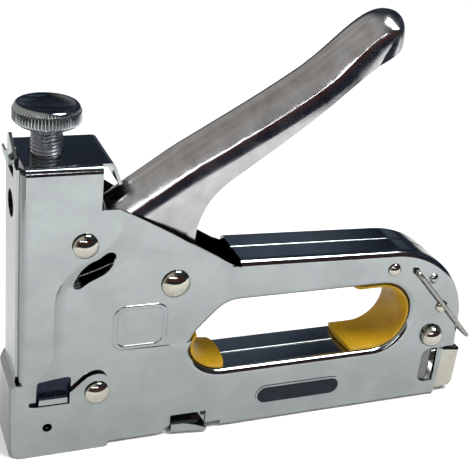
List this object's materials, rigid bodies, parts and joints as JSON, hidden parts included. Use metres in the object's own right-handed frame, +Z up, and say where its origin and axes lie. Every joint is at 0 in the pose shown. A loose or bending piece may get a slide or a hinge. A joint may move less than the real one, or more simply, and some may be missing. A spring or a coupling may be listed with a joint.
{
  "type": "staple gun",
  "caption": "Hand staple gun with sheet metal housings, raised squeeze lever, tension screw, wire bail and rear-loading magazine.",
  "frame": {"origin": "middle of the lower edge of the nose's front wall, the face that is pressed on the work", "axes": "+X from the nose to the rear, +Z up from the base to the knob, -Y is the left side"},
  "size_m": [0.1832, 0.0334, 0.1562],
  "materials": {
    "chrome": "bright chrome on pressed sheet, faintly brushed",
    "nickel": "warm nickel plate",
    "steel": "zinc-plated steel",
    "dark_steel": "oiled spring steel",
    "yellow_plastic": "satin moulded plastic",
    "rubber": "black rubber"
  },
  "bodies": {
    "frame": {"left_housing": "chrome", "right_housing": "chrome", "top_cap": "chrome", "front_plate": "chrome", "nose_shoe": "chrome", "stud_nut": "steel", "stop_bracket": "steel", "striker_bumper": "rubber", "lever_pivot": "nickel", "upper_rivet": "nickel", "lower_rivet": "nickel", "grip_rivet_front": "nickel", "grip_rivet_rear": "nickel", "grip_spacer_front": "steel", "grip_spacer_rear": "steel", "front_liner": "yellow_plastic", "rear_liner": "yellow_plastic", "magazine_channel": "steel", "magazine_core": "steel"},
    "spring_cup": {"spring_cup": "steel"},
    "screw": {"tension_knob": "chrome", "tension_stud": "steel"},
    "striker": {"striker_block": "steel", "driver_blade": "dark_steel", "main_spring": "dark_steel"},
    "lever": {"lever": "chrome", "lift_roller": "steel", "lever_return_spring": "dark_steel"},
    "bail": {"wire_bail": "nickel"},
    "pusher": {"pusher_cap": "nickel", "pusher_rod": "steel", "follower_spring": "dark_steel"},
    "follower": {"follower": "dark_steel"},
    "left_latch": {"left_latch": "nickel"},
    "right_latch": {"right_latch": "nickel"}
  },
  "joints": [
    {"name": "lever_hinge", "type": "hinge", "parent": "frame", "child": "lever", "pos_m": [0.0553, 0, 0.064], "axis": [0, 1, 0], "range_deg": [0, 36], "stiffness_Nm_per_rad": 0.15, "springref_deg": -34.38},
    {"name": "striker_lift", "type": "slide", "parent": "frame", "child": "striker", "axis": [0, 0, 1], "range_m": [0, 0.0216], "deforming": ["main_spring"]},
    {"name": "screw_travel", "type": "slide", "parent": "frame", "child": "spring_cup", "axis": [0, 0, 1], "range_m": [-0.005, 0], "deforming": ["main_spring"]},
    {"name": "knob_turn", "type": "hinge", "parent": "spring_cup", "child": "screw", "pos_m": [0.0124, 0, 0.12], "axis": [0, 0, 1], "range_deg": [-1440, 0]},
    {"name": "bail_swing", "type": "hinge", "parent": "frame", "child": "bail", "pos_m": [0.1511, 0, 0.0594], "axis": [0, 1, 0], "range_deg": [-150, 0]},
    {"name": "magazine_slide", "type": "slide", "parent": "frame", "child": "pusher", "axis": [1, 0, 0], "range_m": [0, 0.11]},
    {"name": "follower_slide", "type": "slide", "parent": "pusher", "child": "follower", "axis": [1, 0, 0], "range_m": [0, 0.1], "stiffness_N_per_m": 20, "springref_m": -0.03, "deforming": ["follower_spring"]},
    {"name": "left_latch_press", "type": "slide", "parent": "frame", "child": "left_latch", "axis": [0, 1, 0], "range_m": [0, 0.0025], "stiffness_N_per_m": 400, "springref_m": -0.001},
    {"name": "right_latch_press", "type": "slide", "parent": "frame", "child": "right_latch", "axis": [0, -1, 0], "range_m": [0, 0.0025], "stiffness_N_per_m": 400, "springref_m": -0.001}
  ],
  "couplings": [
    {"joint": "striker_lift", "follows": "lever_hinge", "m_per_rad": 0.034377},
    {"joint": "knob_turn", "follows": "screw_travel", "rad_per_m": 5026.5}
  ]
}
